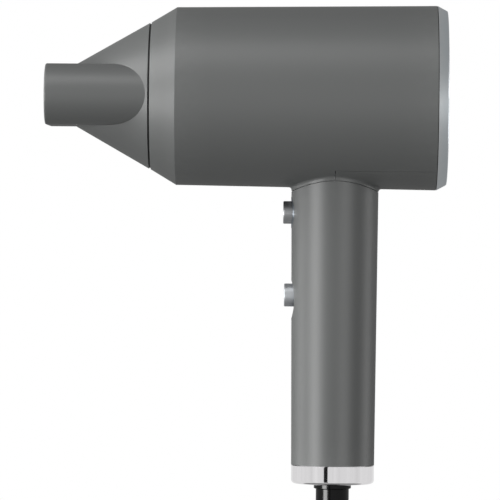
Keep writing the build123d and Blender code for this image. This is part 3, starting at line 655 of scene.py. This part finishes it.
class DRYER_OT_rear_cover(bpy.types.Operator):
    """Finishes the lift-off rear cover: silver ring, black grille and filter mesh"""

    bl_idname = "dryer.rear_cover"
    bl_label = "Rear cover"

    def execute(self, context):
        paint_nodes(ring_paint(), "rear_ring")
        paint_nodes(black_plastic(), "rear_grille")
        paint_nodes(mesh_steel(), "filter_mesh")
        return {"FINISHED"}


# ------------------------------------------------------------------ handle, controls and foot


class DRYER_OT_handle(bpy.types.Operator):
    """Paints the handle's shell and finishes the trim round the two controls"""

    bl_idname = "dryer.handle"
    bl_label = "Handle"

    def execute(self, context):
        paint_nodes(shell_paint(), "handle_shell")
        paint_nodes(bezel_metal(), "button_bezel", "slide_plate")
        return {"FINISHED"}


class DRYER_OT_controls(bpy.types.Operator):
    """Finishes the push button and the slide knob"""

    bl_idname = "dryer.controls"
    bl_label = "Controls"

    def execute(self, context):
        paint_nodes(button_metal(), "push_button")
        paint_nodes(knob_metal_with_painted_highlight(), "slide_knob")
        paint_nodes(black_plastic(), "slide_carrier")
        return {"FINISHED"}


class DRYER_OT_foot(bpy.types.Operator):
    """Finishes the chrome collar and the strain relief at the handle's foot"""

    bl_idname = "dryer.foot"
    bl_label = "Foot"

    def execute(self, context):
        paint_nodes(chrome(), "foot_collar")
        paint_nodes(relief_rubber(), "strain_relief")
        return {"FINISHED"}


class DRYER_OT_inside(bpy.types.Operator):
    """Finishes the heater, fan, motor, switches, board and wires inside the casing"""

    bl_idname = "dryer.inside"
    bl_label = "Inside"

    def execute(self, context):
        paint_nodes(heat_plastic(), "air_duct", "push_plunger")
        paint_nodes(mica(), "mica_sleeve", "mica_frame")
        paint_nodes(steel(), "heater_windings", "thermal_fuse", "ion_needle", "motor_can", "motor_magnets",
                    "motor_shaft", "armature", "board_screws", "clamp_screws", "slide_switch")
        paint_nodes(brass(), "thermostat", "motor_bearings", "commutator", "motor_brushes")
        paint_nodes(copper_wire(), "armature_windings")
        paint_nodes(black_plastic(), "ion_module", "fan_housing", "motor_end_cap", "fan", "handle_frame",
                    "cord_clamp", "push_switch")
        paint_nodes(board_lacquer(), "control_board")
        paint_nodes(cord_rubber(), "damper_rings", "cord_sheath")
        paint_nodes(wire_cover(), "wires")
        return {"FINISHED"}


# ------------------------------------------------------------------ cord

LEAD_POINTS = [
    (0, 0, -105.9), (0, 0, -124), (-4.5, -4, -143), (-12.5, -11.3, -159), (-19.2, -17.4, -174),
    (-21.6, -19.6, -190),
]
TAIL_POINTS = [
    (-22, 16, -190), (-22, 20, -206), (-22, 26.5, -221), (-22, 31.8, -235), (-22, 33.5, -246),
    (-22, 33.5, -256),
]
HANK_TURNS, HANK_PITCH, HANK_RUN, HANK_LOOP = 5, 7.2, 95.0, 22.0
HANK_START_Y, HANK_TOP_Z = -20.0, -190.0
HANK_WAIST, WAIST_DRIFT = 0.6, 0.35
RUN_POINTS, LOOP_POINTS = 4, 6
TIE_WALL, TIE_CORNER, TIE_ROUND = 1.5 * MM, 4.4 * MM, 0.4 * MM


def hank_turn(waist):
    """One turn as (x, z): down one side, round the foot, up the other side and over the top."""
    foot_z = HANK_TOP_Z - HANK_RUN
    outline = []
    for side, start_z, run, loop_z, first_angle in (
        (-1, HANK_TOP_Z, -HANK_RUN, foot_z, math.pi), (1, foot_z, HANK_RUN, HANK_TOP_Z, 0.0),
    ):
        for step in range(RUN_POINTS):
            share = (step + 1) / (RUN_POINTS + 1)
            pinch = waist * math.sin(math.pi * share)
            outline.append((side * (HANK_LOOP - pinch), start_z + run * share))
        for step in range(LOOP_POINTS):
            angle = first_angle + math.pi * (step + 0.5) / LOOP_POINTS
            outline.append((HANK_LOOP * math.cos(angle), loop_z + HANK_LOOP * math.sin(angle)))
    return outline


def hank_points():
    """All the hank's turns, each pinched a little differently at its waist."""
    points = []
    for turn in range(HANK_TURNS):
        outline = hank_turn(HANK_WAIST + WAIST_DRIFT * math.sin(2.1 * turn))
        for index, (x, z) in enumerate(outline):
            share = turn + (index + 1) / len(outline)
            points.append((x, HANK_START_Y + HANK_PITCH * share, z))
    return points


def smooth_curve(name, points, diameter, material):
    """A round cable on one open NURBS spline with these control points, in millimetres."""
    curve = bpy.data.curves.new(name, "CURVE")
    curve.dimensions = "3D"
    curve.bevel_depth = diameter / 2
    curve.bevel_resolution = 8
    curve.use_fill_caps = True
    spline = curve.splines.new("NURBS")
    spline.points.add(len(points) - 1)
    for spot, point in zip(spline.points, points):
        spot.co = (*[value * MM for value in point], 1.0)
    spline.order_u = 3
    spline.use_endpoint_u = True
    spline.resolution_u = 8
    piece = bpy.data.objects.new(name, curve)
    curve.materials.append(material)
    bpy.context.scene.collection.objects.link(piece)
    return piece


def cord_tie_band():
    """The strap round the hank: a flat band with rounded corners and softened edges."""
    low, high = box_of("cord_tie")
    centre, half = (low + high) / 2, (high - low) / 2

    def band_ring(inset, z):
        ring = []
        for side_x, side_y, quarter in ((1, 1, 0), (-1, 1, 1), (-1, -1, 2), (1, -1, 3)):
            for step in range(9):
                angle = math.pi / 2 * (quarter + step / 8)
                ring.append(Vector((
                    centre.x + side_x * (half.x - TIE_CORNER) + (TIE_CORNER - inset) * math.cos(angle),
                    centre.y + side_y * (half.y - TIE_CORNER) + (TIE_CORNER - inset) * math.sin(angle), z,
                )))
        return ring

    near, far = TIE_ROUND * 0.3, TIE_ROUND
    section = [
        (far, low.z), (near, low.z + near), (0, low.z + far), (0, high.z - far), (near, high.z - near),
        (far, high.z), (TIE_WALL - far, high.z), (TIE_WALL - near, high.z - near), (TIE_WALL, high.z - far),
        (TIE_WALL, low.z + far), (TIE_WALL - near, low.z + near), (TIE_WALL - far, low.z),
    ]
    band = orient(skin("cord_tie_strap", [band_ring(inset, z) for inset, z in section], True))
    return finish_piece(band, "dryer", strap_rubber(), "rubber", "cord_tie")


class DRYER_OT_cord(bpy.types.Operator):
    """Builds the mains cord, put away in a tied hank, with its tie and plug"""

    bl_idname = "dryer.cord"
    bl_label = "Cord"

    def execute(self, context):
        route = LEAD_POINTS + hank_points() + TAIL_POINTS
        cord = smooth_curve("mains_cord", route, sizes().cord_diameter, cord_rubber())
        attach(cord, "dryer")
        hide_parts("cord_lead", "cord_hank", "cord_tail")
        tie = cord_tie_band()
        paint_nodes(plug_plastic(), "plug_body")
        paint_nodes(steel(), "plug_pins")
        return {"FINISHED"}


# ------------------------------------------------------------------ stage

STAGE_CENTRE = Vector((-0.02, 0, 0.06))
FLOOR_RADIUS, FLOOR_GAP = 3.0, 4 * MM
WALL_RADIUS, WALL_DIMMEST, WALL_BRIGHTEST = 2.8, 0.34, 0.74
ROUND_STEPS = 96
SOFTBOX_WIDTH, SOFTBOX_DISTANCE = 0.8, 1.6
SOFTBOXES = (  # name, azimuth, elevation
    ("key", -50, -8), ("high", -75, 30), ("top", -25, 55), ("left", -100, -8), ("fill", 30, -8),
    ("right", 100, -8), ("back", 180, 0),
)
CARD_WIDTH, CARD_HEIGHT, CARD_DISTANCE = 0.28, 1.6, 1.5
CARD_AZIMUTH, CARD_ELEVATION, CARD_CENTRE = -19, -4, Vector((0, 0, -0.06))
CAMERA_X, CAMERA_Z, CAMERA_TARGET = -0.0115, 0.0472, Vector((-0.0363, 0, 0.0341))
CAMERA_ROLL = math.radians(0.5)


def aim(thing, place, target, roll=0.0):
    """Puts a light or camera somewhere and turns it to look at a point."""
    thing.location = place
    look = (Vector(target) - Vector(place)).to_track_quat("-Z", "Y").to_matrix().to_4x4()
    thing.matrix_world = Matrix.Translation(place) @ look @ Matrix.Rotation(roll, 4, "Z")


def around(azimuth, elevation, distance, centre):
    """A place round the dryer; azimuth 0 is the camera's side and a negative one is to its left."""
    turn, lift = math.radians(azimuth), math.radians(elevation)
    return centre + distance * Vector((
        math.sin(turn) * math.cos(lift), -math.cos(turn) * math.cos(lift), math.sin(lift)
    ))


def circle(radius):
    """Points round a circle, as (x, y)."""
    turns = [2 * math.pi * step / ROUND_STEPS for step in range(ROUND_STEPS)]
    return [(radius * math.cos(turn), radius * math.sin(turn)) for turn in turns]


def linked(name, state, *pieces):
    """A collection that lights use to leave out these pieces, or to light nothing else."""
    group = bpy.data.collections.new(name)
    for piece in pieces:
        group.objects.link(piece)
    for item in group.collection_objects:
        item.light_linking.link_state = state
    return group


def white_wall(collar):
    """An almost even white wall all round, which only the mirror-bright collar reflects."""
    material = bpy.data.materials.new("white wall")
    material.use_nodes = True
    tree = material.node_tree
    tree.nodes.clear()
    clear, glow = tree.nodes.new("ShaderNodeBsdfTransparent"), tree.nodes.new("ShaderNodeEmission")
    both, output = tree.nodes.new("ShaderNodeAddShader"), tree.nodes.new("ShaderNodeOutputMaterial")
    streaks, place = tree.nodes.new("ShaderNodeTexNoise"), tree.nodes.new("ShaderNodeTexCoord")
    squeeze, strength = tree.nodes.new("ShaderNodeMapping"), tree.nodes.new("ShaderNodeMapRange")
    squeeze.inputs["Scale"].default_value = (1.0, 1.0, 0.02)
    streaks.inputs["Scale"].default_value = 1.3
    strength.inputs["To Min"].default_value = WALL_DIMMEST
    strength.inputs["To Max"].default_value = WALL_BRIGHTEST
    link(tree, place.outputs["Object"], squeeze.inputs["Vector"])
    link(tree, squeeze.outputs["Vector"], streaks.inputs["Vector"])
    link(tree, streaks.outputs["Fac"], strength.inputs["Value"])
    link(tree, strength.outputs["Result"], glow.inputs["Strength"])
    link(tree, clear.outputs[0], both.inputs[0])
    link(tree, glow.outputs[0], both.inputs[1])
    link(tree, both.outputs[0], output.inputs["Surface"])
    rings = [[Vector((x, y, z)) for x, y in circle(WALL_RADIUS)] for z in (-WALL_RADIUS, WALL_RADIUS)]
    wall = skin("white_wall", rings, False)
    wall.data.materials.append(material)
    wall.visible_camera = wall.visible_diffuse = wall.visible_shadow = False
    wall.light_linking.receiver_collection = linked("lit by the wall", "INCLUDE", collar)


def floor_light(floor, power):
    """An overhead panel as wide as the floor, which lights the floor and nothing else."""
    above = Vector((0, 0, floor.location.z + FLOOR_RADIUS))
    panel = softbox("floor_light", above, above - Vector((0, 0, 1)), 2.6 * FLOOR_RADIUS, power)
    panel.light_linking.receiver_collection = linked("lit by the floor light", "INCLUDE", floor)


def softbox(name, place, target, width, power):
    """A large square panel light."""
    light = bpy.data.lights.new(name, "AREA")
    light.shape = "SQUARE"
    light.size = width
    light.energy = power
    panel = bpy.data.objects.new(name, light)
    bpy.context.scene.collection.objects.link(panel)
    aim(panel, place, target)
    panel.visible_camera = False
    return panel


def plain_material(name, colour, roughness):
    """A material of one even colour, for the stage."""
    material = bpy.data.materials.new(name)
    material.use_nodes = True
    shader = material.node_tree.nodes["Principled BSDF"]
    shader.inputs["Base Color"].default_value = (*colour, 1.0)
    shader.inputs["Roughness"].default_value = roughness
    return material


def floor_paint():
    """The floor's pale paint, thinning out to nothing towards the floor's edge."""
    material = plain_material("pale floor", (0.86, 0.86, 0.86), 0.6)
    tree = material.node_tree
    place = tree.nodes.new("ShaderNodeTexCoord")
    away = tree.nodes.new("ShaderNodeVectorMath")
    away.operation = "LENGTH"
    thinning = tree.nodes.new("ShaderNodeMapRange")
    thinning.interpolation_type = "SMOOTHSTEP"
    thinning.inputs["From Min"].default_value = 0.25 * FLOOR_RADIUS
    thinning.inputs["From Max"].default_value = FLOOR_RADIUS
    thinning.inputs["To Min"].default_value = 1.0
    thinning.inputs["To Max"].default_value = 0.0
    link(tree, place.outputs["Object"], away.inputs[0])
    link(tree, away.outputs["Value"], thinning.inputs["Value"])
    link(tree, thinning.outputs["Result"], tree.nodes["Principled BSDF"].inputs["Alpha"])
    return material


def flat_panel(name, corners, material):
    """A plain flat piece with these corners, facing up."""
    mesh = bpy.data.meshes.new(name)
    mesh.from_pydata([(x, y, 0) for x, y in corners], [], [tuple(range(len(corners)))])
    mesh.materials.append(material)
    panel = bpy.data.objects.new(name, mesh)
    bpy.context.scene.collection.objects.link(panel)
    return panel


def white_surroundings(stage):
    """A white studio: bright to the camera, weaker in reflections and weaker still as light."""
    world = bpy.data.worlds.new("white studio")
    bpy.context.scene.world = world
    world.use_nodes = True
    tree = world.node_tree
    tree.nodes.clear()
    output = tree.nodes.new("ShaderNodeOutputWorld")
    path = tree.nodes.new("ShaderNodeLightPath")

    def plain(strength):
        background = tree.nodes.new("ShaderNodeBackground")
        background.inputs["Color"].default_value = (1, 1, 1, 1)
        background.inputs["Strength"].default_value = strength
        return background.outputs[0]

    def choose(ray, otherwise, shader):
        mix = tree.nodes.new("ShaderNodeMixShader")
        tree.links.new(path.outputs[ray], mix.inputs["Fac"])
        tree.links.new(otherwise, mix.inputs[1])
        tree.links.new(shader, mix.inputs[2])
        return mix.outputs[0]

    reflected = choose("Is Glossy Ray", plain(stage.ambient), plain(stage.surroundings))
    tree.links.new(choose("Is Camera Ray", reflected, plain(1.0)), output.inputs["Surface"])


def pale_floor():
    """The floor's disc, which neither sends light back to the dryer nor shows in its reflections."""
    floor = flat_panel("floor", circle(FLOOR_RADIUS), floor_paint())
    floor.location.z = CAD_BOX[0][2] - FLOOR_GAP
    floor.visible_diffuse = floor.visible_glossy = False
    return floor


def softboxes(stage, floor):
    """The softboxes all round; the collar and, but for the key and the back one, the relief are left out."""
    collar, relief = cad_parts["foot_collar"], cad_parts["strain_relief"]
    all_but_collar = linked("not lit by any softbox", "EXCLUDE", floor, collar)
    all_but_trim = linked("not lit by most softboxes", "EXCLUDE", floor, collar, relief)
    for name, azimuth, elevation in SOFTBOXES:
        place = around(azimuth, elevation, SOFTBOX_DISTANCE, STAGE_CENTRE)
        panel = softbox(name, place, STAGE_CENTRE, SOFTBOX_WIDTH, getattr(stage, f"{name}_power"))
        on_relief = name in ("key", "back")
        panel.light_linking.receiver_collection = all_but_collar if on_relief else all_but_trim
        # The one behind gives no shine, so that it draws no bright line around the dryer.
        panel.visible_glossy = name != "back"


def dark_card():
    """A tall dark card beside the camera, seen in reflections only."""
    half_width, half_height = CARD_WIDTH / 2, CARD_HEIGHT / 2
    corners = [
        (-half_width, -half_height), (half_width, -half_height), (half_width, half_height),
        (-half_width, half_height),
    ]
    card = flat_panel("dark_card", corners, plain_material("dark card", (0.004, 0.004, 0.004), 0.9))
    aim(card, around(CARD_AZIMUTH, CARD_ELEVATION, CARD_DISTANCE, CARD_CENTRE), CARD_CENTRE)
    card.visible_camera = card.visible_diffuse = card.visible_shadow = False


def studio_camera(stage):
    """The camera, almost square to the dryer's side."""
    lens = bpy.data.cameras.new("camera")
    lens.lens = stage.focal_length
    lens.sensor_width = 36.0
    lens.clip_end = 50.0
    camera = bpy.data.objects.new("camera", lens)
    bpy.context.scene.collection.objects.link(camera)
    aim(camera, Vector((CAMERA_X, -stage.camera_distance, CAMERA_Z)), CAMERA_TARGET, roll=CAMERA_ROLL)
    bpy.context.scene.camera = camera
    bpy.context.scene.view_settings.view_transform = "Standard"


class DRYER_OT_stage(bpy.types.Operator):
    """Builds the pale floor, the soft light and the camera"""

    bl_idname = "dryer.stage"
    bl_label = "Stage"

    def execute(self, context):
        stage = context.scene.dryer_stage
        floor = pale_floor()
        white_surroundings(stage)
        white_wall(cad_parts["foot_collar"])
        floor_light(floor, stage.floor_power)
        softboxes(stage, floor)
        dark_card()
        studio_camera(stage)
        return {"FINISHED"}


# ------------------------------------------------------------------ add-on

STEPS = ("stage", "nozzle", "barrel", "rear_cover", "handle", "controls", "foot", "inside", "cord")


class DRYER_PT_sidebar(bpy.types.Panel):
    """Lists the dryer's pieces in the 3D view's sidebar"""

    bl_label = "Hair dryer"
    bl_idname = "DRYER_PT_sidebar"
    bl_space_type = "VIEW_3D"
    bl_region_type = "UI"
    bl_category = "Dryer"

    def draw(self, context):
        for step in STEPS:
            self.layout.operator(f"dryer.{step}")
        for group in (context.scene.dryer_sizes, context.scene.dryer_colours, context.scene.dryer_stage):
            column = self.layout.column()
            for name in group.__annotations__:
                column.prop(group, name)


CLASSES = (
    DryerSizes, DryerColours, DryerStage,
    DRYER_OT_nozzle, DRYER_OT_barrel, DRYER_OT_rear_cover, DRYER_OT_handle, DRYER_OT_controls, DRYER_OT_foot,
    DRYER_OT_inside, DRYER_OT_cord, DRYER_OT_stage, DRYER_PT_sidebar,
)


def register():
    for item in CLASSES:
        bpy.utils.register_class(item)
    bpy.types.Scene.dryer_sizes = PointerProperty(type=DryerSizes)
    bpy.types.Scene.dryer_colours = PointerProperty(type=DryerColours)
    bpy.types.Scene.dryer_stage = PointerProperty(type=DryerStage)


def unregister():
    del bpy.types.Scene.dryer_stage
    del bpy.types.Scene.dryer_colours
    del bpy.types.Scene.dryer_sizes
    for item in reversed(CLASSES):
        bpy.utils.unregister_class(item)


def main():
    register()
    for step in STEPS:
        getattr(bpy.ops.dryer, step)()


if __name__ == "__main__":
    main()
